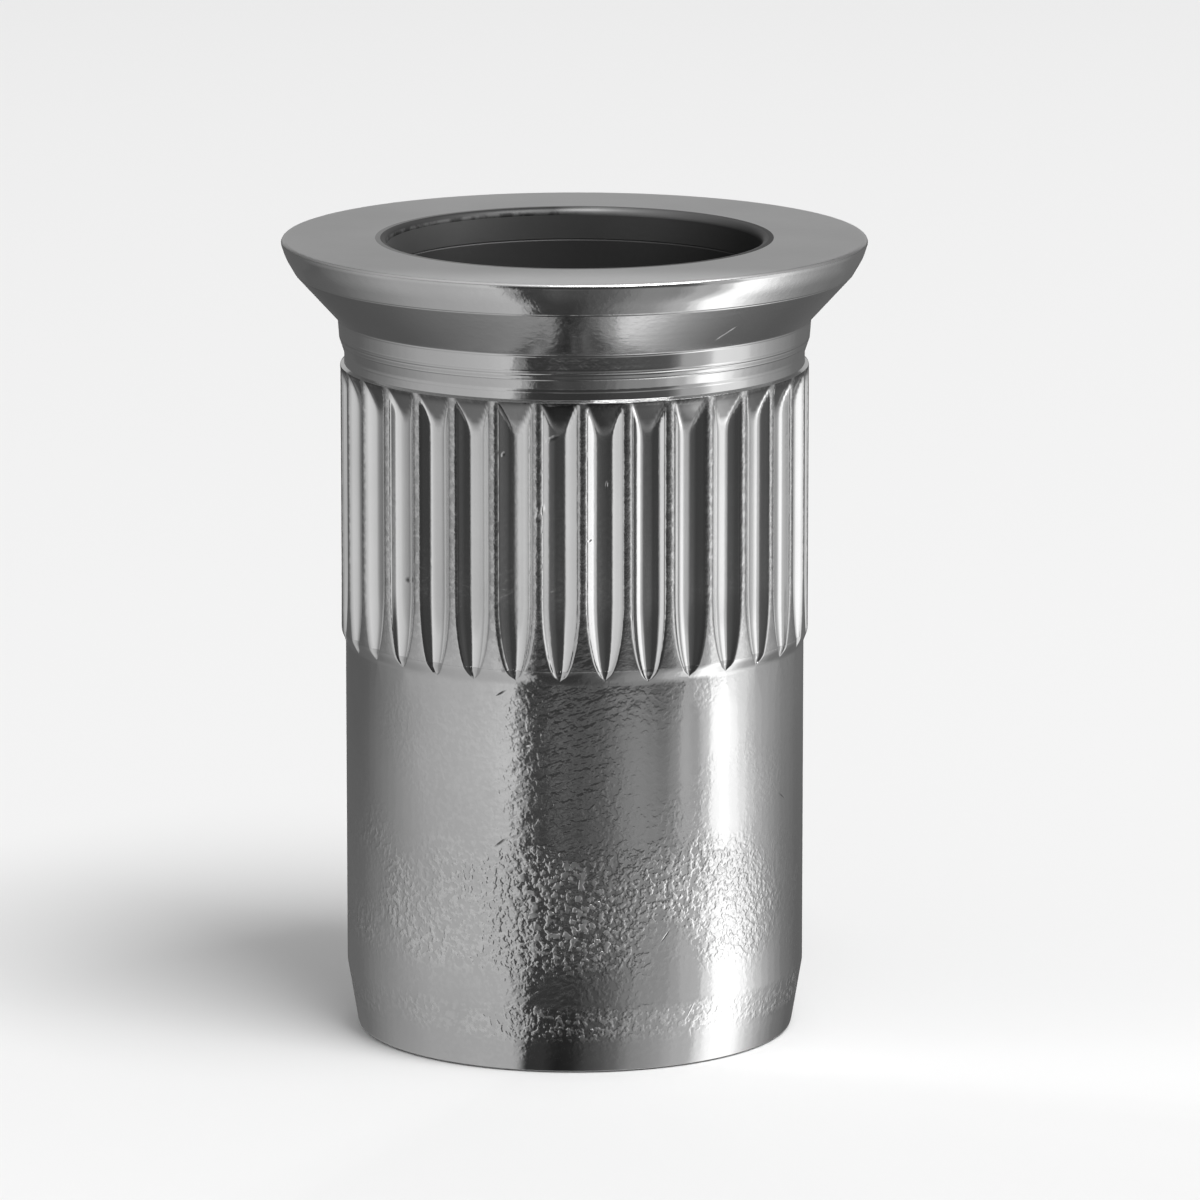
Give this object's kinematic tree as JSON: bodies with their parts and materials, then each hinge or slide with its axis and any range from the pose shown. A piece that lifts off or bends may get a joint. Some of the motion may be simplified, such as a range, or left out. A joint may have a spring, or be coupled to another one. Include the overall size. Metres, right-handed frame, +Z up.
{
  "type": "rivet nut",
  "caption": "Open-end blind rivet nut with a thin countersunk head, a splined band under it, a plain shank, and a bore that is plain above and threaded below.",
  "frame": {"origin": "on the nut's axis, at the foot of its open end", "axes": "+Z up the axis, from the open end of the shank to the flat face of the head; a groove lies 4.6 degrees from +X towards +Y"},
  "size_m": [0.014, 0.014, 0.0192],
  "materials": {
    "zinc_plated_steel": "bright zinc plating over cold-formed steel, with fine scuffs and small dents on the shank"
  },
  "bodies": {
    "root": {"rivet_nut": "zinc_plated_steel"}
  },
  "joints": []
}
